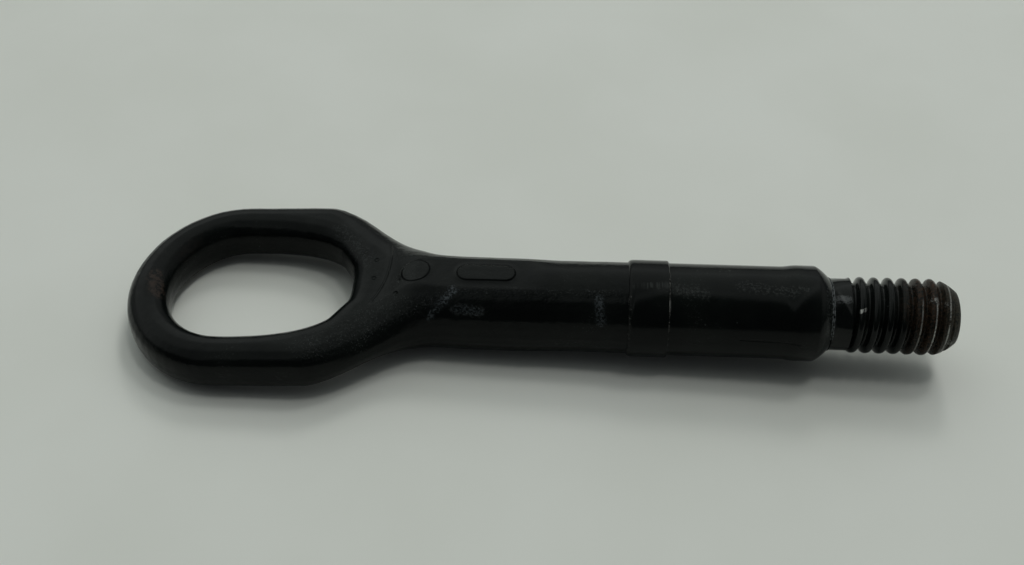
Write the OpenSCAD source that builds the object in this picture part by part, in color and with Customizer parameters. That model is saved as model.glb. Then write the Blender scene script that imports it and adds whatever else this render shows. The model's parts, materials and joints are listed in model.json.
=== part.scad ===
// Screw-in tow eye, forged in one piece from a steel bar.
// The X axis runs along the shank, from the centre of the eye's round end to the tip of the thread.
// The eye lies in the XY plane, and the two halves of the forging meet at Z = 0.

/* [Eye] */
// Half the width of the eye
eye_r = 27; // [25:0.1:31]
// Distance from the centre of the eye to its outer end
end_reach = 25.2; // [23:0.1:31]
// Half the width of the hole
hole_r = 17.1; // [13:0.1:18]
// Distance from the centre of the eye to the outer end of the hole
hole_back = 15.4; // [13:0.1:17.5]
// Distance from the centre of the eye to the end of the hole at the shank
hole_reach = 28.4; // [24:0.1:30]
// Squareness of the hole's end at the shank, where 2 is an ellipse
hole_power = 2.7; // [2:0.05:3]
// Thickness of the eye
eye_t = 12; // [9:0.5:15]
// Rounding of the edges of the eye
eye_round = 5; // [2.5:0.25:6]
// Length of the straight sides of the eye
side_len = 20; // [12:1:22]
// Turn of the eye in its own plane against the shank, in degrees
eye_turn = 2.3; // [-5:0.1:5]
// Sideways offset of the eye's centre from the shank's axis
eye_shift = 1; // [-1.5:0.1:1.5]
// Length over which the turned eye runs back to the shank's axis
settle_len = 38; // [24:1:48]

/* [Neck] */
// Length over which the eye narrows to the neck
flank_len = 31; // [24:1:40]
// Extra softness of the edges along the flanks
flank_soft = 0.9; // [0:0.1:1.2]
// Radius of the neck
neck_r = 11.1; // [10:0.1:13]
// Height of the flat pad on the neck above the middle plane
pad_h = 10; // [8.5:0.1:10.8]
// Length over which the face of the eye rises to the pad
rise_len = 12; // [9:0.5:15]
// Length of the pad behind the flanks
pad_len = 17; // [15:1:30]
// Length over which the pad fades into the round shank
fade_len = 10; // [6:1:14]

/* [Marking pads] */
// How far the marking pads stand out of the neck
mark_h = 0.4; // [0.2:0.05:0.8]
// Radius of the round marking pad
disc_r = 3.6; // [2:0.1:4.5]
// Distance from the end of the hole to the middle of the round marking pad
disc_gap = 16; // [12.5:0.5:18]
// Length of the oblong marking pad
bar_len = 14; // [8:0.5:15]
// Width of the oblong marking pad
bar_w = 5.2; // [3:0.2:7]
// Gap between the round and the oblong marking pad
mark_gap = 6; // [4:0.5:7]

/* [Shank] */
// Radius of the plain shank in front of the guide band
plain_r = 10.85; // [9.5:0.05:11.2]
// Length of the plain shank in front of the guide band
plain_len = 16.5; // [8:0.5:30]
// Radius of the guide band
band_r = 11.5; // [11.4:0.05:13]
// Length of the guide band
band_len = 9.5; // [5:0.5:16]
// Radius of the shank between the guide band and the collar
grip_r = 10.8; // [9.6:0.05:11.2]
// Length of the shank between the guide band and the collar
grip_len = 28; // [15:1:45]
// Radius of the collar
collar_r = 11.3; // [11.2:0.05:12.5]
// Length of the collar
collar_len = 6; // [3:0.5:10]
// Bevel of the edges of the band and the collar
bevel = 0.35; // [0.1:0.05:0.5]
// Length of the sloping shoulder behind the collar
shoulder_len = 3.5; // [3:0.5:8]
// Radius at the end of the shoulder
shoulder_r = 8.6; // [8.6:0.1:10]
// Roundness of the shoulder, where 1 is a cone and 2 is nearly a quarter of an ellipse
shoulder_curve = 1.35; // [1:0.05:2.5]

/* [Thread] */
// Outer radius of the thread
crest_r = 9; // [8.6:0.1:10]
// Radius at the bottom of the thread
root_r = 7.6; // [7:0.1:8]
// Pitch of the thread
pitch = 3.25; // [2.5:0.05:4]
// Share of a pitch by which the thread is moved along the shank
thread_phase = 0.69; // [0:0.01:1]
// Length of the thread
thread_len = 25.5; // [15:0.5:40]
// Radius of the undercut in front of the thread
undercut_r = 8.1; // [7.6:0.1:8.4]
// Length of the undercut
undercut_len = 4; // [2:0.25:6]
// Radius of the flat end of the thread
tip_r = 6.2; // [5:0.1:7]
// Length of the rounding at the end of the thread
tip_len = 6.5; // [2:0.1:8]
// Roundness of the end of the thread, where 1 is a cone and 2 is nearly a quarter of an ellipse
tip_curve = 1.6; // [1:0.05:2.5]

/* [Hidden] */

// Depth to which one length of the part sinks into the next, so that they join
joint_depth = 1;
// Depth to which the round marking pad sinks into the neck
disc_depth = 4;
// The rounding stays within the bar that it rounds
edge_r = min(eye_round, 0.48 * min(eye_r - hole_r, end_reach - hole_back), 0.48 * eye_t);
// The spokes that divide the eye start at this distance from its centre
spoke_x = side_len / 2;
// The neck starts behind the rounded end of the hole
neck_x = hole_reach + edge_r + joint_depth;
flank_end = side_len + flank_len;
pad_end = flank_end + pad_len;
round_x = pad_end + fade_len;
band_x = round_x + plain_len;
band_end = band_x + band_len;
collar_x = band_end + grip_len;
collar_end = collar_x + collar_len;
shoulder_end = collar_end + shoulder_len;
thread_x = shoulder_end + undercut_len;
tip_x = thread_x + thread_len;
disc_x = hole_reach + disc_gap;
bar_x = disc_x + disc_r + mark_gap + bar_len / 2;

// Divisions of the forged surface: the round end, the side, the edges and the flat face
end_steps = 14;
side_steps = 13;
edge_rows = 5;
face_rows = 5;
// Divisions of the thread: columns around it
thread_cols = 36;
// Divisions of the shoulder
shoulder_steps = 6;
// One pitch of the thread as [share of the pitch, share of the depth], from crest to crest
thread_rows = [[0, 1], [0.1, 0.94], [0.2, 0.72], [0.38, 0.06], [0.62, 0.06], [0.8, 0.72], [0.9, 0.94]];

// Smooth step from 0 to 1 as t goes from 0 to 1
function ease(t) = let (c = min(1, max(0, t))) c * c * (3 - 2 * c);
function mix(a, b, t) = a + (b - a) * t;
function unit(v) = v / norm(v);

// Share of the way from the eye's side to the neck at x
function flank(x) = ease((x - side_len) / flank_len);

// Share of the way from the padded neck to the round shank at x
function fade(x) = ease((x - pad_end) / fade_len);

// Sideways offset of the forging's middle at x
function lean(x) = (eye_shift + tan(eye_turn) * x) * (1 - ease((x - side_len) / settle_len));

// Half width of the forging at x, from the eye's straight side on
function half_width(x) = mix(eye_r, mix(neck_r, plain_r, fade(x)), flank(x));

// Height of the upper face at a point of the plan, which rises from the eye to the pad
function face_h(x, y) =
    let (way = norm([max(0, x - spoke_x), y / 2]) + spoke_x - neck_x)
    mix(eye_t / 2, pad_h, ease(way / rise_len));

// Row j of the eye's edge as [distance in from the outline, share of the face's height]
function eye_edge(j) =
    let (turn = 90 * max(0, j - 1) / (edge_rows - 1), half_t = eye_t / 2)
    j == 0 ? [0, 0] : [edge_r * (1 - cos(turn)), 1 - edge_r * (1 - sin(turn)) / half_t];

// Angle on the neck's circle at which its pad starts
pad_turn = asin(pad_h / neck_r);

// Row j of the neck's edge, in the same form
function neck_edge(j) =
    let (turn = pad_turn * j / edge_rows)
    [neck_r * (1 - cos(turn)), sin(turn) / sin(pad_turn)];

// Row j of the edge at x
function edge(x, j) =
    let (f = flank(x), row = mix(eye_edge(j), neck_edge(j), f))
    [row[0] * (1 + 4 * flank_soft * f * (1 - f)), row[1]];

// Quarter section of the neck at x, from the outline over the edge to the middle of the face
function neck_section(x) =
    let (
        w = half_width(x),
        f = fade(x),
        y_edge = w - edge(x, edge_rows)[0],
        padded = [
            for (j = [0:edge_rows])
                let (row = edge(x, j))
                [w - row[0], row[1] * face_h(x, y_edge)],
            for (k = [1:face_rows])
                let (y = y_edge * (1 - k / face_rows))
                [y, face_h(x, y)]
        ],
        round = [
            for (j = [0:edge_rows]) w * [cos(pad_turn * j / edge_rows), sin(pad_turn * j / edge_rows)],
            for (k = [1:face_rows])
                let (turn = mix(pad_turn, 90, k / face_rows))
                k == face_rows ? [0, w] : w * [cos(turn), sin(turn)]
        ]
    )
    [for (i = [0:len(padded) - 1]) let (p = mix(padded[i], round[i], f)) [x, p[0], p[1]]];

// Places along the neck where it is cut into sections
neck_stops = [
    each [for (i = [0:8]) mix(neck_x, flank_end, i / 8)],
    each [for (i = [1:4]) mix(flank_end, pad_end, i / 4)],
    each [for (i = [1:5]) mix(pad_end, round_x, i / 5)],
    band_x + joint_depth
];

// Outline of one half of the eye as [point, direction into the bar]
slope_step = 0.01;
function side_slope(x) = (half_width(x + slope_step) - half_width(x - slope_step)) / (2 * slope_step);
eye_outline = [
    for (i = [0:end_steps])
        let (turn = 180 - 90 * i / end_steps)
        [[end_reach * cos(turn), eye_r * sin(turn)], -unit([cos(turn) / end_reach, sin(turn) / eye_r])],
    for (i = [1:side_steps])
        let (x = neck_x * i / side_steps, d = mix([side_slope(x), -1], [0, -1], ease((x - side_len) / (neck_x - side_len))))
        [[x, half_width(x)], unit(d)]
];

// Less than 1 inside the hole
function hole_value(p) =
    p.x < 0 ? pow(norm([p.x / hole_back, p.y / hole_r]), hole_power)
    : pow(p.x / hole_reach, hole_power) + pow(abs(p.y) / hole_r, hole_power);

// Point where the line from a to b crosses the edge of the hole
function hole_point(a, b, steps = 40) =
    let (m = (a + b) / 2)
    steps == 0 ? m : hole_value(m) < 1 ? hole_point(m, b, steps - 1) : hole_point(a, m, steps - 1);

// Direction from the edge of the hole into the bar
function hole_normal(p) =
    p.x < 0 ? unit([p.x / pow(hole_back, 2), p.y / pow(hole_r, 2)])
    : unit([pow(p.x / hole_reach, hole_power - 1) / hole_reach, pow(p.y / hole_r, hole_power - 1) / hole_r]);

// The hole's edge on the spoke through p, as [point, direction into the bar]
function hole_edge(p) =
    let (start = [min(max(p.x / 2, 0), spoke_x), 0], h = hole_point(start, p), q = [h.x, abs(p.y) < 0.001 ? 0 : h.y])
    [q, hole_normal(q)];

// Upper face from its outer end to the middle of the hole's wall
function face_strip(outer, spoke) =
    let (
        h = hole_edge(spoke),
        inner = h[0] + h[1] * edge_r,
        middle = ([outer.x, outer.y] + inner) / 2
    )
    [
        outer,
        [middle.x, middle.y, face_h(middle.x, middle.y)],
        for (j = [edge_rows:-1:0])
            let (row = eye_edge(j), p = h[0] + h[1] * row[0])
            [p.x, p.y, row[1] * eye_t / 2]
    ];

// Outer edge of the eye at one place of its outline
function edge_strip(place) =
    let (p = place[0], top = p + place[1] * edge(p.x, edge_rows)[0])
    [
        for (j = [0:edge_rows])
            let (row = edge(p.x, j), q = p + place[1] * row[0])
            [q.x, q.y, row[1] * face_h(top.x, top.y)]
    ];

// Triangles of a grid of points
function skin(grid) = [
    for (i = [0:len(grid) - 2], j = [0:len(grid[0]) - 2])
        let (a = grid[i][j], b = grid[i + 1][j], c = grid[i + 1][j + 1], d = grid[i][j + 1])
        each [[a, b, c], [a, c, d]]
];

// The triangles and their mirror image
function with_mirror(triangles, m) = [
    each triangles,
    for (t = triangles) [for (k = [0, 2, 1]) [t[k].x * m.x, t[k].y * m.y, t[k].z * m.z]]
];

// Closed body from loose triangles
module solid_of(triangles) {
    polyhedron(
        points = [for (t = triangles) each t],
        faces = [for (i = [0:len(triangles) - 1]) [3 * i, 3 * i + 1, 3 * i + 2]],
        convexity = 6
    );
}

// Eye, flanks, neck and plain shank, as one forged surface
module forging() {
    sections = [for (x = neck_stops) neck_section(x)];
    start = sections[0];
    edges = [for (place = eye_outline) place[0].x < neck_x ? edge_strip(place) : [for (j = [0:edge_rows]) start[j]]];
    faces = [
        for (i = [0:len(edges) - 1]) face_strip(edges[i][edge_rows], eye_outline[i][0]),
        for (k = [1:face_rows]) face_strip(start[edge_rows + k], [neck_x, start[edge_rows + k].y])
    ];
    last = sections[len(sections) - 1];
    cap = [for (i = [0:len(last) - 2]) [[last[i].x, 0, 0], last[i + 1], last[i]]];
    quarter = concat(skin(edges), skin(faces), skin(sections), cap);
    upper = [for (t = with_mirror(quarter, [1, -1, 1])) [for (p = t) [p.x, p.y + lean(p.x), p.z]]];
    solid_of(with_mirror(upper, [1, 1, -1]));
}

// Guide band, grip, collar and shoulder, as [radius, x]
turned_outline = [
    [0, band_x],
    [band_r - bevel, band_x],
    [band_r, band_x + bevel],
    [band_r, band_end - bevel],
    [band_r - bevel, band_end],
    [grip_r, band_end],
    [grip_r, collar_x],
    [collar_r - bevel, collar_x],
    [collar_r, collar_x + bevel],
    for (t = [0:1 / shoulder_steps:1])
        [mix(collar_r, shoulder_r, pow(t, shoulder_curve)), collar_end + shoulder_len * t],
    [0, shoulder_end]
];

module turned_shank() {
    rotate([0, 90, 0])
        rotate_extrude($fn = 96)
            polygon(turned_outline);
}

// Share of the thread's depth at a share of the pitch
function thread_share(u) = lookup(u, concat(thread_rows, [[1, 1]]));

// Radius at x and at an angle around the axis: a left-hand thread between the undercut and the rounded tip
function thread_r(x, turn) =
    let (
        along = x / pitch + turn / 360 - thread_phase,
        cut = mix(root_r, crest_r, thread_share(along - floor(along))),
        started = mix(undercut_r, cut, ease((x - thread_x) / pitch)),
        worn = pow(1 - min(1, (tip_x - x) / tip_len), tip_curve)
    )
    min(started, mix(crest_r, tip_r, worn));

module threaded_end() {
    start_x = shoulder_end - joint_depth;
    rows = len(thread_rows);
    turns = ceil((tip_x - start_x) / pitch) + 2;
    last = turns * rows;
    first_turn = floor(start_x / pitch - thread_phase);
    points = [
        for (c = [0:thread_cols - 1], q = [0:last])
            let (
                turn = 360 * c / thread_cols,
                place = first_turn + thread_phase + floor(q / rows) + thread_rows[q % rows][0] - turn / 360,
                x = min(tip_x, max(start_x, place * pitch)),
                r = thread_r(x, turn)
            )
            [x, r * cos(turn), r * sin(turn)]
    ];
    // Past the last column a row goes on one turn further along
    function at(c, q) = c < thread_cols ? c * (last + 1) + q : max(0, q - rows);
    walls = [
        for (c = [0:thread_cols - 1], q = [0:last - 1])
            let (a = at(c, q), b = at(c, q + 1), d = at(c + 1, q + 1), e = at(c + 1, q))
            each [[a, b, d], [a, d, e]]
    ];
    ends = [
        [for (c = [0:thread_cols - 1]) at(c, 0)],
        [for (c = [thread_cols - 1:-1:0]) at(c, last)]
    ];
    sound = [for (f = walls) if (points[f[0]] != points[f[1]] && points[f[1]] != points[f[2]] && points[f[0]] != points[f[2]]) f];
    polyhedron(points, concat(sound, ends), convexity = 12);
}

// Plain raised pads on the upper side of the neck
module marking_pads() {
    for (end = [-1, 1])
        translate([bar_x + end * (bar_len - bar_w) / 2, 0, 0])
            cylinder(r = bar_w / 2, h = pad_h + mark_h, $fn = 48);
    translate([bar_x - (bar_len - bar_w) / 2, -bar_w / 2, 0])
        cube([bar_len - bar_w, bar_w, pad_h + mark_h]);
    // The round pad lies on the slope of the neck
    rim_h = [face_h(disc_x - disc_r, 0), face_h(disc_x + disc_r, 0)];
    translate([disc_x, lean(disc_x), (rim_h[0] + rim_h[1]) / 2])
        rotate([0, -atan2(rim_h[1] - rim_h[0], 2 * disc_r), 0])
            translate([0, 0, -disc_depth])
                cylinder(r = disc_r, h = disc_depth + mark_h, $fn = 48);
}

module tow_eye() {
    color([0.09, 0.09, 0.1]) {
        forging();
        turned_shank();
        threaded_end();
        marking_pads();
    }
}

tow_eye();
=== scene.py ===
# %% [markdown]
# # A screw-in tow eye
# This is a towing eye from a car's tool kit: a steel bar, forged into an oval eye with a neck, turned to
# a round shank with a guide band and a collar, and given a coarse left-hand thread. It was dipped in
# black paint, and years in a car have rubbed and rusted it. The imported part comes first, as a fixed
# frame. Sizes that the frame knows are read from it, so that the finished skin and the solid under it
# stay one object.

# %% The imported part
import json
import math

import bpy
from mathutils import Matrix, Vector


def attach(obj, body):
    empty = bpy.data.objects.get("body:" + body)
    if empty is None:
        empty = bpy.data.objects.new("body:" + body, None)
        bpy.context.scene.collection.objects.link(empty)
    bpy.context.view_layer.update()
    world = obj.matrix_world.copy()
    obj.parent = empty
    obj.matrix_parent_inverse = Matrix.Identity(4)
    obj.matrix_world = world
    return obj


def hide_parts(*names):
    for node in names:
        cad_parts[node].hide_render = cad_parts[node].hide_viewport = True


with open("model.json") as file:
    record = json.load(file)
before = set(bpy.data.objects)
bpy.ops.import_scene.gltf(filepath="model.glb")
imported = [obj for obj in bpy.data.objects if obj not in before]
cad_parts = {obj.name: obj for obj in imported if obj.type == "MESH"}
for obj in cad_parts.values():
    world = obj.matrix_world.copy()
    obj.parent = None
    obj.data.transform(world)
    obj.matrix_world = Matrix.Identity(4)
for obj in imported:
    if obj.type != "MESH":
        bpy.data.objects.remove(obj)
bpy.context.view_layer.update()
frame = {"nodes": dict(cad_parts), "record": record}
MM = 0.001

# %% Sizes from the part's mounts
mounts = {m["name"]: m for m in frame["record"]["mounts"]}


def mount_sizes(name):
    """Where a mount's middle lies along the shank, its radius and half its length, in millimetres."""
    dims = mounts[name]["dims"]
    return round(mounts[name]["pos_m"][0] / MM, 3), dims["r_mm"], dims["length_mm"] / 2


band_x, band_r, band_half = mount_sizes("guide_band")
collar_x, collar_r, collar_half = mount_sizes("collar")
thread_x, crest_r, thread_half = mount_sizes("thread")
print("band", band_x, band_r, "collar", collar_x, collar_r, "thread", thread_x, crest_r)

# %% [markdown]
# ## The view
# The photograph looks down at the part from its near side, at about 45 degrees. The camera was placed by
# fitting the part's outline, its hole, its band and its thread to the picture. A lens of about 44 mm on a
# 36 mm wide sensor gives the same perspective. There is no shift and no depth of field, so the same
# camera serves any side.

# %% The camera
camera_place = Vector((81.14, -207.4, 215.23)) * MM
camera_turn = (44.997, 0.719, 3.153)
camera_data = bpy.data.cameras.new("camera")
camera_data.lens = 43.95
camera_data.sensor_width = 36
camera_data.clip_start = 0.01
camera = bpy.data.objects.new("camera", camera_data)
camera.location = camera_place
camera.rotation_euler = [math.radians(a) for a in camera_turn]
bpy.context.scene.collection.objects.link(camera)
bpy.context.scene.camera = camera
print("camera", round(camera_place.length, 3), "m from the eye")

# %% [markdown]
# ## Small helpers for modelling
# An operator acts on everything that is selected, so each step first chooses one object. Modifiers are
# added and applied at once, so that the mesh that is left is the finished one.

# %% Choosing objects and working in edit mode
def choose(thing):
    bpy.ops.object.select_all(action="DESELECT")
    thing.select_set(True)
    bpy.context.view_layer.objects.active = thing


def edit_all(thing):
    choose(thing)
    bpy.ops.object.mode_set(mode="EDIT")
    bpy.ops.mesh.select_all(action="SELECT")


def face_outwards():
    bpy.ops.mesh.select_all(action="SELECT")
    bpy.ops.mesh.normals_make_consistent(inside=False)


def leave_edit():
    bpy.ops.object.mode_set(mode="OBJECT")

# %% Modifiers, names and counts
def with_modifier(thing, kind, **settings):
    choose(thing)
    modifier = thing.modifiers.new(kind.lower(), kind)
    for name, value in settings.items():
        setattr(modifier, name, value)
    bpy.ops.object.modifier_apply(modifier=modifier.name)


def named(name):
    thing = bpy.context.object
    thing.name = name
    thing.data.name = name
    return thing


def triangles(thing):
    thing.data.calc_loop_triangles()
    return len(thing.data.loop_triangles)

# %% [markdown]
# ## The forged skin
# The eye, the flanks, the neck and its two marking pads came out of one pair of dies, so they are one
# surface with no sharp edge. The solid holds that surface as flat facets, which a glossy paint would
# show. One way is to model the skin again from a cage of large faces. The way used here keeps the form
# exactly: a copy of the solid is cut just in front of the guide band, pushed on into the band, wrapped in
# a fine even grid of voxels, and smoothed until the facets are gone. A soft cloud then lifts and sinks it
# by a tenth of a millimetre, as on steel that came out of a worn die.

# %% A copy of the solid, cut in front of the band
band_bevel = 0.35
band_start = band_x - band_half - band_bevel
band_end = band_x + band_half + band_bevel
cut_gap = 0.2
lap_into_band = 3.0
same_point = 0.001 * MM

solid = frame["nodes"]["tow_eye"]
forging = bpy.data.objects.new("forging", solid.data.copy())
bpy.context.scene.collection.objects.link(forging)
edit_all(forging)
bpy.ops.mesh.remove_doubles(threshold=same_point)
cut_x = (band_start - cut_gap) * MM
bpy.ops.mesh.bisect(plane_co=(cut_x, 0, 0), plane_no=(1, 0, 0), clear_outer=True, use_fill=True)
bpy.ops.mesh.select_all(action="DESELECT")
bpy.ops.mesh.select_mode(type="FACE")
leave_edit()
for face in forging.data.polygons:
    face.select = abs(face.center.x - cut_x) < same_point
bpy.ops.object.mode_set(mode="EDIT")
bpy.ops.mesh.extrude_region_move(TRANSFORM_OT_translate={"value": (lap_into_band * MM, 0, 0)})
bpy.ops.mesh.select_mode(type="VERT")
face_outwards()
leave_edit()
print("cut copy", triangles(forging), "triangles")

# %% Voxels, smoothing and the wear of the die
voxel = 0.40
smooth_passes = 9
wave_size = 11
die_wear = 0.22

with_modifier(forging, "REMESH", mode="VOXEL", voxel_size=voxel * MM, use_smooth_shade=True)
with_modifier(forging, "SMOOTH", factor=0.5, iterations=smooth_passes)
waves = bpy.data.textures.new("forging_waves", "CLOUDS")
waves.noise_scale = wave_size * MM
waves.noise_depth = 1
with_modifier(
    forging, "DISPLACE", texture=waves, texture_coords="LOCAL", strength=die_wear * MM, mid_level=0.5
)
print("forging", triangles(forging), "triangles")

# %% [markdown]
# ## The turned shank
# The band, the grip behind it, the collar and the shoulder are turned on a lathe. A drawn profile could
# be spun around the axis in one go. Here a circle is pushed along the shank and widened or narrowed at
# each step instead, so that the whole profile is one short list of places and radii.

# %% A lathe made of extrusions
def turn_on_lathe(name, profile, around=112):
    """Pushes a circle through a list of (x, radius) in millimetres and closes both ends."""
    x, r = profile[0]
    bpy.ops.object.select_all(action="DESELECT")
    bpy.ops.mesh.primitive_circle_add(
        vertices=around, radius=r * MM, fill_type="NGON",
        location=(x * MM, 0, 0), rotation=(0, math.pi / 2, 0),
    )
    body = named(name)
    bpy.ops.object.transform_apply(location=True, rotation=True, scale=True)
    edit_all(body)
    for x_next, r_next in profile[1:]:
        bpy.ops.mesh.extrude_region_move(TRANSFORM_OT_translate={"value": ((x_next - x) * MM, 0, 0)})
        bpy.ops.transform.resize(value=(1, r_next / r, r_next / r), center_override=(x_next * MM, 0, 0))
        x, r = x_next, r_next
    face_outwards()
    leave_edit()
    return body

# %% Curves for a lathe's profile
def rounded_off(x, r, size, steps=4):
    """A quarter round that falls from radius r and ends at x."""
    turns = [math.pi / 2 * i / steps for i in range(steps, -1, -1)]
    return [(x - size * (1 - math.cos(a)), r - size * (1 - math.sin(a))) for a in turns]


def eased(start, end, r_start, r_end, curve, steps=12):
    """Points from one radius to another, where a curve above 1 starts flat and ends steep."""
    shares = [i / steps for i in range(steps + 1)]
    return [(start + (end - start) * t, r_start + (r_end - r_start) * t ** curve) for t in shares]

# %% The shank from the guide band to the undercut
grip_r = 10.92
edge_round = 0.45
collar_bevel = 0.2
collar_start = collar_x - collar_half - collar_bevel
collar_end = collar_x + collar_half + collar_bevel
shoulder_len = 3.5
shoulder_end = collar_end + shoulder_len
shoulder_r = 8.6
shoulder_curve = 1.35
undercut_r = 8.5
thread_start = thread_x - thread_half

shank = turn_on_lathe("shank", [
    (band_start - 0.5, grip_r - 0.6),
    (band_start + 0.1, band_r - 0.35),
    (band_start + 0.45, band_r - 0.12),
    (band_start + 0.9, band_r - 0.02),
    (band_start + 1.4, band_r),
    *rounded_off(band_end - 0.1, band_r, edge_round),
    (band_end + 0.1, grip_r + 0.06),
    (band_end + 0.4, grip_r),
    (collar_start - 1.8, grip_r),
    (collar_start - 0.9, grip_r + 0.06),
    (collar_start, grip_r + 0.19),
    (collar_start + 0.9, collar_r - 0.06),
    (collar_start + 1.8, collar_r),
    *eased(collar_end, shoulder_end, collar_r, shoulder_r, shoulder_curve),
    (shoulder_end + 0.06, shoulder_r - 0.1),
    (shoulder_end + 0.1, undercut_r + 0.2),
    (shoulder_end + 0.4, undercut_r),
    (thread_start + 0.5, undercut_r),
    (thread_start + 1.2, undercut_r - 1.1),
])
print("shank", triangles(shank), "triangles")

# %% [markdown]
# ## The thread
# A thread is one pitch of its profile, carried around and along the axis. Grooves that were only painted
# as relief would leave the outline smooth, and here the crests stand out against the table, so the thread
# is modelled. The Screw modifier carries the profile around. The long screw is then cut to length, and
# what it has in common with a turned blank, which has a run-in and a rounded tip, is kept. That gives the
# run-out of the first groove and the worn, rounded last turns, as on the real bar.

# %% One pitch of the thread
pitch = 3.25
root_r = 7.5
tip_x = thread_x + thread_half
# Where the crests lie on the top line, as a share of the pitch.
thread_share = 0.69
turns_past_start = 9
crest_to_root = [
    (0, 1), (0.07, 0.985), (0.14, 0.93), (0.21, 0.81), (0.28, 0.58), (0.35, 0.28), (0.41, 0.1), (0.46, 0.02)
]
groove = crest_to_root + [(0.5, 0)] + [(1 - u, h) for u, h in reversed(crest_to_root)]
# The winding starts at a crest beyond the tip, and runs back past the undercut.
first_crest = (math.floor(thread_start / pitch) + turns_past_start + thread_share) * pitch
profile = [Vector((first_crest + u * pitch, 0, root_r + (crest_r - root_r) * h)) * MM for u, h in groove]

bpy.ops.object.select_all(action="DESELECT")
bpy.ops.mesh.primitive_plane_add(size=MM)
thread = named("thread")
edit_all(thread)
bpy.ops.mesh.merge(type="CENTER")
bpy.ops.transform.translate(value=profile[0])
for here, there in zip(profile, profile[1:]):
    bpy.ops.mesh.extrude_vertices_move(TRANSFORM_OT_translate={"value": there - here})
leave_edit()
print("thread profile", len(thread.data.vertices), "points")

# %% The profile wound along the axis and cut to length
turns_wound = 12
steps_around = 96
weld_turns = 0.002
with_modifier(
    thread, "SCREW", axis="X", angle=2 * math.pi, screw_offset=-pitch * MM, iterations=turns_wound,
    steps=steps_around, render_steps=steps_around,
)
edit_all(thread)
bpy.ops.mesh.remove_doubles(threshold=weld_turns * MM)
for end_x, side in ((thread_start - 2.5, -1), (tip_x + 1, 1)):
    bpy.ops.mesh.select_all(action="SELECT")
    bpy.ops.mesh.bisect(plane_co=(end_x * MM, 0, 0), plane_no=(side, 0, 0), clear_outer=True, use_fill=True)
face_outwards()
leave_edit()
print("wound thread", triangles(thread), "triangles")

# %% The turned blank, and the shank with its thread
tip_r = 6.2
tip_len = 6.5
tip_curve = 2.1
blank = turn_on_lathe("blank", [
    (thread_start - 2, undercut_r - 0.2),
    (thread_start - 0.3, undercut_r - 0.2),
    (thread_start + 0.9, crest_r - 0.15),
    (thread_start + 1.5, crest_r + 0.08),
    *eased(tip_x - tip_len, tip_x - 0.15, crest_r + 0.08, tip_r + 0.15, tip_curve, 9),
    (tip_x, tip_r - 0.25),
])
with_modifier(thread, "BOOLEAN", operation="INTERSECT", object=blank, solver="EXACT")
bpy.data.objects.remove(blank)
with_modifier(shank, "BOOLEAN", operation="UNION", object=thread, solver="EXACT")
bpy.data.objects.remove(thread)
print("shank with thread", triangles(shank), "triangles")

# %% [markdown]
# ## One piece of steel
# The real part is one piece, so the forging and the shank are joined into one closed skin. Two meshes
# that only overlap would look the same from outside, but would keep walls inside the steel. The step at
# the start of the guide band hides the place where the forged and the turned surfaces meet.

# %% The tow eye as one skin
weld_seam = 0.0005
smooth_below = 38
tow_eye = forging
tow_eye.name = "tow_eye_skin"
with_modifier(tow_eye, "BOOLEAN", operation="UNION", object=shank, solver="EXACT")
bpy.data.objects.remove(shank)
edit_all(tow_eye)
bpy.ops.mesh.remove_doubles(threshold=weld_seam * MM)
bpy.ops.mesh.select_mode(type="VERT")
bpy.ops.mesh.select_all(action="DESELECT")
bpy.ops.mesh.select_non_manifold()
leave_edit()
print("open corners", sum(v.select for v in tow_eye.data.vertices), "triangles", triangles(tow_eye))
choose(tow_eye)
bpy.ops.object.shade_smooth_by_angle(angle=math.radians(smooth_below))

# %% [markdown]
# ## Writing shader maths as sums
# A finish is a few hundred sums over the surface. Written as nodes one by one they can't be read, so a
# small class wraps a socket, and an ordinary expression such as `1 - mask * 0.5` adds the Math nodes. A
# second class adds any node to a tree. A third one, built on it, knows the few forms of mask that the
# finish needs again and again.

# %% Sums on sockets
class Level:
    """A number that changes over the surface."""

    def __init__(self, recipe, socket):
        self.recipe = recipe
        self.socket = socket

    def __add__(self, other):
        return self.recipe.math("ADD", self, other)

    def __sub__(self, other):
        return self.recipe.math("SUBTRACT", self, other)

    def __rsub__(self, other):
        return self.recipe.math("SUBTRACT", other, self)

    def __mul__(self, other):
        return self.recipe.math("MULTIPLY", self, other)

    def __truediv__(self, other):
        return self.recipe.math("DIVIDE", self, other)

    def __abs__(self):
        return self.recipe.math("ABSOLUTE", self)

    def __or__(self, other):
        return self.recipe.math("MAXIMUM", self, other)

    __radd__ = __add__
    __rmul__ = __mul__

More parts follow.
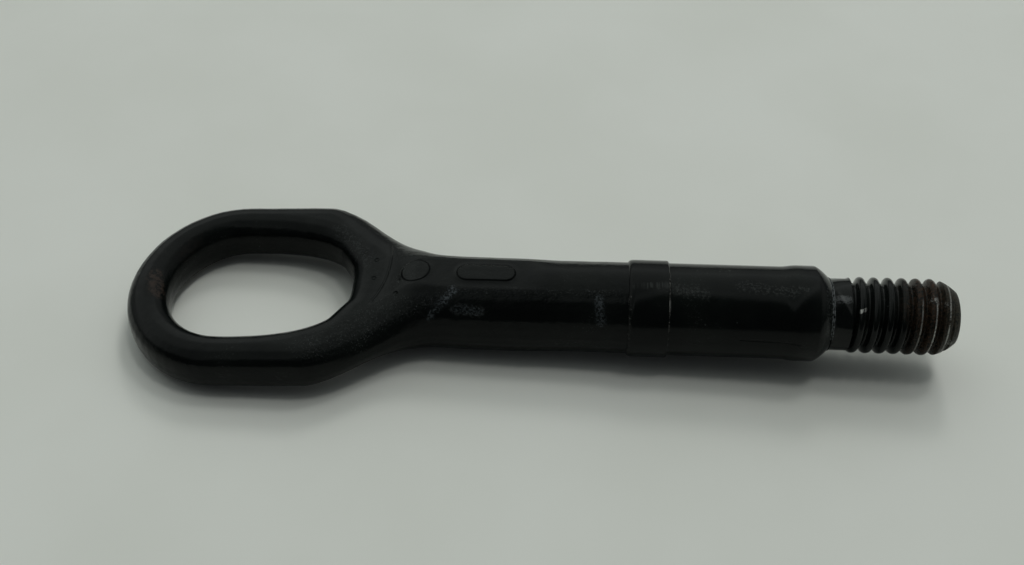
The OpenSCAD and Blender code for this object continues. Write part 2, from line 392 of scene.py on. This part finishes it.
# %% A tree of nodes
class NodeTree:
    """A node tree, with one short way to add any node. Places and sizes are in the given unit."""

    def __init__(self, tree, coordinates, unit):
        self.tree = tree
        self.tree.nodes.clear()
        self.unit = unit
        self.place = self.node("TexCoord").outputs[coordinates]
        parts = self.node("SeparateXYZ", {}, {0: self.place}).outputs
        self.x, self.y, self.z = [Level(self, part) / unit for part in parts]

    def node(self, kind, settings=None, sockets=None):
        node = self.tree.nodes.new("ShaderNode" + kind)
        for name, value in (settings or {}).items():
            setattr(node, name, value)
        for name, value in (sockets or {}).items():
            if isinstance(value, Level):
                value = value.socket
            if isinstance(value, bpy.types.NodeSocket):
                self.tree.links.new(value, node.inputs[name])
            else:
                node.inputs[name].default_value = value
        return node

    def math(self, operation, *values):
        node = self.node("Math", {"operation": operation}, dict(enumerate(values)))
        return Level(self, node.outputs[0])

    def vector(self, operation, *values):
        return self.node("VectorMath", {"operation": operation}, dict(enumerate(values))).outputs

    def mix(self, share, first, second):
        first, second = [(*c, 1) if isinstance(c, tuple) else c for c in (first, second)]
        return self.node("Mix", {"data_type": "RGBA"}, {0: share, 6: first, 7: second}).outputs[2]

# %% The usual masks
class Recipe(NodeTree):
    """A node tree for a finish, with the masks that it needs again and again."""

    def noise(self, size, detail=2, rough=0.5, stretch=(1, 1, 1)):
        """Noise whose lumps are about that long, times the stretch."""
        scale = [1 / (size * s * self.unit) for s in stretch]
        place = self.vector("MULTIPLY", self.place, scale)[0]
        sockets = {"Vector": place, "Scale": 1, "Detail": detail, "Roughness": rough}
        return Level(self, self.node("TexNoise", {}, sockets).outputs["Fac"])

    def step(self, value, low, high):
        """0 below low, 1 above high and a soft step between."""
        sockets = {"Value": value, "From Min": low, "From Max": high}
        node = self.node("MapRange", {"interpolation_type": "SMOOTHSTEP"}, sockets)
        return Level(self, node.outputs["Result"])

    def between(self, value, low, high, soft):
        """1 from low to high, with soft flanks outside them."""
        return self.step(value, low - soft, low) * (1 - self.step(value, high, high + soft))

    def grains(self, size, low, high, detail=3, rough=0.75):
        """1 in scattered grains of about that size; lower bounds give more of them."""
        return self.step(self.noise(size, detail, rough), low, high)

    def spots(self, reach, soft, *places):
        """1 within reach of each of the places."""
        mask = 0
        for place in places:
            far = Level(self, self.vector("DISTANCE", self.place, Vector(place) * self.unit)["Value"])
            mask = (1 - self.step(far / self.unit, reach, reach + soft)) | mask
        return mask

    def streak(self, start, end, reach, soft, ragged=0.0):
        """1 within reach of the line from start to end; a noise moves its edge by about ragged."""
        start = Vector(start) * self.unit
        along = Vector(end) * self.unit - start
        offset = self.vector("SUBTRACT", self.place, start)[0]
        way = Level(self, self.vector("DOT_PRODUCT", offset, along / along.length_squared)["Value"])
        way = self.math("MAXIMUM", self.math("MINIMUM", way, 1), 0)
        foot = self.node("VectorMath", {"operation": "SCALE"}, {0: along, "Scale": way}).outputs[0]
        far = Level(self, self.vector("DISTANCE", offset, foot)["Value"]) / self.unit
        if ragged:
            lump = max(reach, 0.8)
            far = far + (self.noise(lump, 3, 0.6) - 0.5) * (ragged * 4)
        return 1 - self.step(far, reach, reach + soft)

# %% [markdown]
# ## Black paint, rubbed steel and rust
# The paint is a thin black dip coat. On the eye and the neck it follows the grain of the blasted forging,
# and on the turned shank it is smoother. A picture wrapped around the part could hold the wear, but it
# would have one fixed sharpness. So each worn place is a mask: a line or a spot in millimetres, broken up
# by a noise into grains. Some masks carry painted light too: lighter glints and highlight specks, a pale
# painted highlight on the undercut, and a painted shade in the rims of the pads.

# %% Where the surfaces change, and the grain of each
material = bpy.data.materials.new("worn_black_paint")
material.use_nodes = True
paint = Recipe(material.node_tree, "Object", MM)
x, y, z = paint.x, paint.y, paint.z
across = paint.node("CombineXYZ", {}, {1: y, 2: z}).outputs[0]
radius = Level(paint, paint.vector("LENGTH", across)["Value"])

threaded = paint.step(x, shoulder_end - 0.2, shoulder_end + 1.1)
turned = paint.step(x, band_start - 1, band_start + 0.5) * (1 - threaded)
forged = 1 - turned - threaded

grain = paint.noise(0.5, 3, 0.65)
lumps = paint.noise(2.6, 3, 0.5)
cloud = paint.noise(13, 3, 0.55)
lathe_lines = paint.noise(0.35, 2, 0.6, (1, 40, 40))
print("surfaces and grains", len(paint.tree.nodes), "nodes")

# %% Worn places and painted glints of the forging
# The near flank is the line where the lit top of the forging meets its dark side.
near_flank = (
    paint.streak((22, -21, 5.0), (37, -10.5, 6.5), 1.2, 4.5, 0.8)
    | paint.streak((37, -10.5, 6.5), (51, -7.4, 8.6), 0.8, 3.5, 0.8)
    | paint.streak((51, -5.8, 9.6), (92, -4.7, 9.8), 0.3, 1.3, 0.5)
)
hole_corner = paint.streak((23.7, 18, 5.7), (31.4, 8, 5.7), 0.8, 2.6, 0.8)
# Painted glints: lighter specks where the grain would catch a lamp, most of them along the near flank.
painted_glints = paint.grains(0.40, 0.61, 0.69, 2, 0.7) * paint.step(cloud + near_flank * 0.25, 0.50, 0.70)
# Painted glints along the near flank and at the corner of the hole, where the lit top turns into a dark
# wall.
edge_glints = (near_flank * 0.5 | hole_corner) * paint.grains(0.6, 0.50, 0.64)
# The rub and the scuff are rubbed paint, and their lighter colour is a painted glint. The dents get the
# same lighter colour.
rub_glint = (
    paint.streak((53.8, -5.3, 9.6), (51.5, -7.4, 8.0), 0.2, 1.3, 0.7)
    | paint.streak((51.5, -7.4, 8.0), (48.4, -9.8, 5.0), 0.1, 1.2, 0.7) * 0.6
)
scuff_glint = paint.streak((87.5, -5.9, 9.0), (88.0, -9.6, 4.8), 0.5, 1.0, 0.5)
dents = paint.streak((54.5, -8.7, 6.8), (60.0, -8.9, 6.6), 0.4, 1.1, 0.7)
rubbed_and_glinting = (rub_glint | scuff_glint * 0.6 | dents * 0.45) * paint.grains(0.55, 0.42, 0.60)
brown_patch = (
    paint.streak((-18.6, 0.8, 5.9), (-17.0, -4.6, 4.6), 0.9, 1.6, 0.7)
    | paint.streak((-13.8, 9.5, 4.0), (-10.9, 13.5, 5.8), 0.8, 2.5, 0.7) * 0.12
)
brown = brown_patch * paint.grains(1.3, 0.36, 0.60, 3, 0.6)
print("with the wear of the forging", len(paint.tree.nodes), "nodes")

# %% Marks that the dies left on the forging, and a painted shade in the pads' rims
pads = paint.spots(3.1, 0.6, (44.4, 0.8, 9.4)) | paint.streak((56.7, 0, 10.3), (65.5, 0, 10.3), 2.1, 0.6)
# Painted shade: a dark line in the rims of the raised pads.
shaded_pad_rims = pads * (1 - pads) * 4
pits = paint.spots(0.25, 0.5, (34.0, 7.6, 6.2), (34.1, 1.5, 6.2), (40.3, -1.2, 8.6), (40.2, -5.2, 7.8))
arc_r = 28
arc_x = x - 9.6
arc_y = y - 6.5
arc_far = paint.math("SQRT", arc_x * arc_x + arc_y * arc_y)
arc_line = paint.between(arc_far, arc_r - 0.1, arc_r + 0.1, 0.35) * paint.between(y, -6, 13, 1.5)
arc_line = arc_line * paint.step(x, 24, 28) * paint.step(z, 2, 4)
print("with the marks of the dies", len(paint.tree.nodes), "nodes")

# %% Worn edges of the shank
band_edge = paint.between(x, band_end - 0.30, band_end - 0.05, 0.12) * paint.step(radius, 10.95, 11.15)
band_chips = paint.streak((band_end, -6.8, 9.2), (band_end, -8.2, 8.0), 0.3, 0.5, 0.4)
edge_share = 0.1 + paint.step(z, 1, 5) * 0.3
edge_wear = band_edge * paint.grains(0.7, 0.47, 0.66) * edge_share | band_chips * band_edge
front_edge = paint.between(x, band_start - 0.1, band_start + 0.4, 0.2) * paint.between(y, -10.5, -6.5, 1.5)
front_wear = front_edge * paint.grains(0.6, 0.54, 0.66)
shoulder_wear = paint.between(x, 140.0, shoulder_end + 0.1, 0.8) * paint.grains(0.5, 0.46, 0.62)
shoulder_rim = paint.between(x, shoulder_end - 0.3, shoulder_end + 0.3, 0.12)
shoulder_rim = shoulder_rim * paint.between(z, 1.5, 8.5, 1.5) * paint.grains(0.6, 0.42, 0.54, 3, 0.7)
print("with the worn edges", len(paint.tree.nodes), "nodes")

# %% Painted highlight specks, scratches and dots of the shank
# The scratches on the band are real, and their lighter colour is a painted glint.
band_scratch_glints = paint.streak((96.0, -3.4, 11.0), (103.0, -3.0, 11.0), 0.3, 0.8, 0.5)
band_scratch_glints = band_scratch_glints * paint.step(lathe_lines, 0.45, 0.62)
# Painted highlight specks along the top of the shank, where a lamp's highlight falls.
painted_highlight_specks = (
    paint.streak((120.0, -2.2, 10.6), (132.0, -3.4, 10.3), 0.4, 1.5, 1.0)
    | paint.streak((105.5, -3.6, 10.3), (112.0, -4.4, 9.9), 0.4, 1.5, 1.0)
    | paint.streak((133.6, -2.4, 11.1), (135.0, -2.9, 11.0), 0.4, 0.4, 0.2)
) * paint.grains(0.6, 0.45, 0.62)
dots = paint.spots(0.14, 0.2, (112, -9.5, 5.1), (119.2, -9.1, 5.7))
long_scratch = paint.streak((120.3, -10.7, 1.7), (134.0, -11.2, 1.2), 0.10, 0.22)
print("with the smudges", len(paint.tree.nodes), "nodes")

# %% Bare crests of the thread
# The bare line follows the crest's helix, a little nearer to the tip than its middle. It shows on the last
# turns, and on their sides more than on top.
crest_shift = 0.12
crest_turn = paint.math("ARCTAN2", y * -1, z) / (2 * math.pi)
crest_phase = x / pitch + crest_turn + (0.5 - thread_share - crest_shift)
crest_far = abs(paint.math("FRACT", crest_phase) - 0.5) * pitch
crest_line = (1 - paint.step(crest_far + grain * 0.3, 0.26, 0.40)) * paint.step(x, 158.5, 163.5)
crest_line = crest_line * (1 - paint.step(x, 168.9, 169.4)) * paint.step(radius, 7.8, 8.0)
crest_bright = crest_line * (1 - paint.step(z, 7.6, 8.8)) * paint.grains(1.2, 0.34, 0.50, 3, 0.7)
crest_bright = crest_bright * (0.5 + paint.step(z, -1, 4) * 0.5)
smears = (
    paint.streak((163.6, -2.4, 8.5), (166.6, -3.2, 8.0), 0.3, 0.8, 0.7)
    | paint.streak((167.6, -7.4, 0.6), (169.0, -7.6, -0.6), 0.3, 0.6, 0.5)
) * paint.grains(0.55, 0.44, 0.62)
white_nick = paint.streak((147.5, -5.7, 6.8), (148.9, -5.0, 7.3), 0.22, 0.25, 0.3)
print("with the bare crests", len(paint.tree.nodes), "nodes")

# %% Rust, dust and oil on the thread, and a painted highlight on the undercut
rust = threaded * paint.step(x + cloud * 8, 160, 167) * paint.grains(1.0, 0.34, 0.60, 4, 0.7)
dust = threaded * paint.step(x, 165, 168.5)
oily = threaded * (1 - paint.step(x, 150, 160))
# Oil on the undercut gives a wet coat there, and its pale colour is a painted highlight.
oil_and_painted_highlight = paint.streak((142.9, -2.9, 8.0), (144.9, -2.9, 8.0), 0.7, 0.5, 0.4)
oil_and_painted_highlight = oil_and_painted_highlight * paint.grains(0.8, 0.36, 0.52, 3, 0.7)
print("with the rust", len(paint.tree.nodes), "nodes")

# %% [markdown]
# ## From masks to one finish
# Each mask now only shifts the colour, the roughness, the metal, the coat or the relief of one shader.
# The colours are laid over each other as thin coats, in the order in which they came onto the part: first
# the paint, then the rubbing, then rust and dust. Painted glints, highlights and the pads' painted shade
# are laid in among them. Bare steel comes last, because nothing has covered it yet. It counts as metal,
# and rust a little.

# %% Colour
black = (0.0028, 0.0038, 0.0036)
grey_film = (0.0052, 0.0068, 0.0060)
rust_colour = paint.mix(paint.step(grain, 0.42, 0.62), (0.016, 0.013, 0.008), (0.052, 0.028, 0.017))
bare = edge_wear | front_wear * 0.25 | crest_bright | smears * 0.7 | white_nick
# Among the coats, the glints, the highlight specks and the undercut's highlight are painted light, and the
# pads' rims are a painted shade. One pale colour serves the line on the shoulder's rim and the undercut's
# painted highlight.
coats = (
    (brown * 0.8, (0.034, 0.024, 0.019)),
    (painted_glints * 0.6, (0.060, 0.066, 0.064)),
    (edge_glints * 0.35, (0.050, 0.056, 0.056)),
    (rubbed_and_glinting * 0.75, (0.090, 0.105, 0.115)),
    ((painted_highlight_specks | band_scratch_glints) * 0.35, (0.060, 0.066, 0.063)),
    (shoulder_wear * 0.35 | dots * 0.4, (0.075, 0.085, 0.080)),
    (shoulder_rim * 0.7 | oil_and_painted_highlight * 0.2, (0.16, 0.175, 0.18)),
    (rust * 0.8, rust_colour),
    (dust * paint.step(grain, 0.38, 0.6) * 0.7, (0.034, 0.035, 0.026)),
    (shaded_pad_rims * 0.6, (0.0012, 0.0015, 0.0015)),
    (bare, (0.34, 0.34, 0.32)),
)
colour = paint.mix(paint.step(cloud, 0.35, 0.7), black, grey_film)
for share, coat in coats:
    colour = paint.mix(share, colour, coat)
print("coats over the paint", len(coats))

# %% Gloss, metal and the wet coat
gloss = 0.13 + forged * 0.01 + lumps * 0.06 - oily * 0.06
gloss = gloss + (rust | dust | shaded_pad_rims) * 0.30 + (rubbed_and_glinting | brown | painted_highlight_specks | edge_glints) * 0.2
metal = bare | rust * 0.15
wet_coat = oily * 0.1 + oil_and_painted_highlight * 0.7
print("with gloss and metal", len(paint.tree.nodes), "nodes")

# %% Relief, in millimetres
coarse = 0.012 + forged * 0.024 + near_flank * 0.080 + rust * 0.03
height = grain * coarse + lumps * (0.025 + forged * 0.10) + lathe_lines * turned * 0.004
height = height + pads * 0.40 + painted_glints * 0.02
height = height - arc_line * 0.14 - pits * 0.3 - long_scratch * 0.12 - rubbed_and_glinting * 0.03 - dents * 0.15
relief = paint.node("Bump", {}, {"Strength": 1.0, "Distance": MM, "Height": height}).outputs[0]
print("with the relief", len(paint.tree.nodes), "nodes")

# %% The worn black paint
shader = paint.node("BsdfPrincipled", {}, {
    "Base Color": colour,
    "Roughness": gloss,
    "Metallic": metal,
    "Normal": relief,
    "IOR": 1.5,
    "Specular IOR Level": 0.11,
    "Coat Weight": wet_coat,
    "Coat Roughness": 0.08,
})
paint.node("OutputMaterial", {}, {"Surface": shader.outputs[0]})
tow_eye.data.materials.clear()
tow_eye.data.materials.append(material)
print("paint on", tow_eye.name, "made of", len(paint.tree.nodes), "nodes")

# %% [markdown]
# ## The table
# The part lies on the left end of its eye and on the guide band, so it leans by two and a half degrees.
# The table is laid against those two places, and the part stays where it is. It is pale, matt and faintly
# cloudy, as in the photograph.

# %% A pale table under the eye and the band
table_size = 4000
eye_rest = Vector((-20.6, 0, -6.0)) * MM
band_rest = Vector((band_end, 0, -band_r)) * MM
lean = math.atan2(eye_rest.z - band_rest.z, band_rest.x - eye_rest.x)
bpy.ops.object.select_all(action="DESELECT")
bpy.ops.mesh.primitive_plane_add(size=table_size * MM, location=band_rest, rotation=(0, lean, 0))
table = named("table")
bpy.ops.object.transform_apply(location=True, rotation=True, scale=True)
print("table leans", round(math.degrees(lean), 2), "degrees")

# %% The table's finish
table_material = bpy.data.materials.new("pale_table")
table_material.use_nodes = True
tabletop = Recipe(table_material.node_tree, "Object", MM)
table_clouds = tabletop.grains(60, 0.3, 0.7, 3, 0.5)
table_colour = tabletop.mix(table_clouds, (0.735, 0.76, 0.705), (0.77, 0.795, 0.745))
table_shader = tabletop.node("BsdfPrincipled", {}, {
    "Base Color": table_colour,
    "Roughness": 0.6,
    "Specular IOR Level": 0.3,
})
tabletop.node("OutputMaterial", {}, {"Surface": table_shader.outputs[0]})
table.data.materials.append(table_material)
print("table finish", len(tabletop.tree.nodes), "nodes")

# %% [markdown]
# ## The light
# One large lamp hangs over and behind the part, as a bright ceiling does, and a strip along its near edge
# is a little brighter. That gives the bar a light back, a dark side and a sharp line between them. A
# single lamp would also light the shadow up too much, so the ceiling is made in two ends, and the near
# one only shows as a reflection. Three small lamps draw the steps of the shadow's edge, and aren't
# mirrored. The room behind is light and the near side is dim. Seen directly, the room is as pale as the
# table.

# %% A lamp
def hang_lamp(name, size, place, turn, glow, colour, mirrored=True, spread=True):
    """Hangs an area lamp of that size in metres, glow times as bright as white.

    One that isn't mirrored shows in no gloss, and one that isn't spread lights no matt surface.
    """
    data = bpy.data.lights.new(name, "AREA")
    data.shape = "RECTANGLE"
    data.size, data.size_y = size
    data.energy = math.pi * size[0] * size[1] * glow
    data.color = colour
    lamp = bpy.data.objects.new(name, data)
    lamp.location = place
    lamp.rotation_euler = turn
    lamp.visible_camera = False
    lamp.visible_glossy = mirrored
    lamp.visible_diffuse = spread
    bpy.context.scene.collection.objects.link(lamp)
    print(name, [round(v, 2) for v in place])

# %% The ceiling and the brighter strip along its edge
ceiling_turn = (0, 0, math.radians(-30.3))
ceiling_way = Vector((-math.sin(ceiling_turn[2]), math.cos(ceiling_turn[2]), 0))
ceiling_colour = (0.93, 1.0, 0.965)
ceiling_middle = Vector((-2.33, 1.42, 2.5))
ceiling_width = 7.0
ceiling_reach = 5.0
ceiling_split = -0.8
ceiling_glow = 0.35
strip_middle = Vector((0.52, -0.245, 2.49))
strip_width = 0.4
strip_reach = 2.5
strip_glow = 0.28
for end, start, stop, spread in (
    ("far", ceiling_split, ceiling_reach, True),
    ("near", -ceiling_reach, ceiling_split, False),
):
    place = ceiling_middle + ceiling_way * (start + stop) / 2
    size = (ceiling_width, stop - start)
    hang_lamp("ceiling_" + end, size, place, ceiling_turn, ceiling_glow, ceiling_colour, spread=spread)
    start, stop = max(start, -strip_reach), min(stop, strip_reach)
    place = strip_middle + ceiling_way * (start + stop) / 2
    size = (strip_width, stop - start)
    hang_lamp("ceiling_edge_" + end, size, place, ceiling_turn, strip_glow, ceiling_colour, spread=spread)

# %% Three small lamps for the steps of the shadow
lamp_colour = (1.0, 0.985, 0.97)
for name, size, place, glow in (
    ("lamp_above", 0.35, (0.6, 0.05, 2.4), 12.5),
    ("lamp_behind", 0.4, (0.9, 0.85, 2.3), 11.0),
    ("lamp_low", 0.5, (0.45, 1.75, 1.85), 9.0),
):
    turn = Vector(place).to_track_quat("Z", "Y").to_euler()
    hang_lamp(name, (size, size), place, turn, glow, lamp_colour, mirrored=False)

# %% The room
world = bpy.data.worlds.new("room")
bpy.context.scene.world = world
world.use_nodes = True
room = Recipe(world.node_tree, "Generated", 1)
seen = Level(room, room.node("LightPath").outputs["Is Camera Ray"])
behind = room.step(room.y + abs(room.x) * 0.4, -0.2, 0.5) * room.step(room.z, 0.0, 0.35)
air = room.mix(behind, (0.038, 0.040, 0.044), (0.42, 0.44, 0.43))
air = room.mix(seen, air, (0.45, 0.48, 0.44))
background = room.node("Background", {}, {"Color": air, "Strength": 1.0})
room.node("OutputWorld", {}, {"Surface": background.outputs[0]})
bpy.context.scene.view_settings.view_transform = "Standard"
print("room", len(room.tree.nodes), "nodes")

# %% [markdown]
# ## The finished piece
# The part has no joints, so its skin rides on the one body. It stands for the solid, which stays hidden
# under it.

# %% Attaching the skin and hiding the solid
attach(tow_eye, "root")
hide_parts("tow_eye")
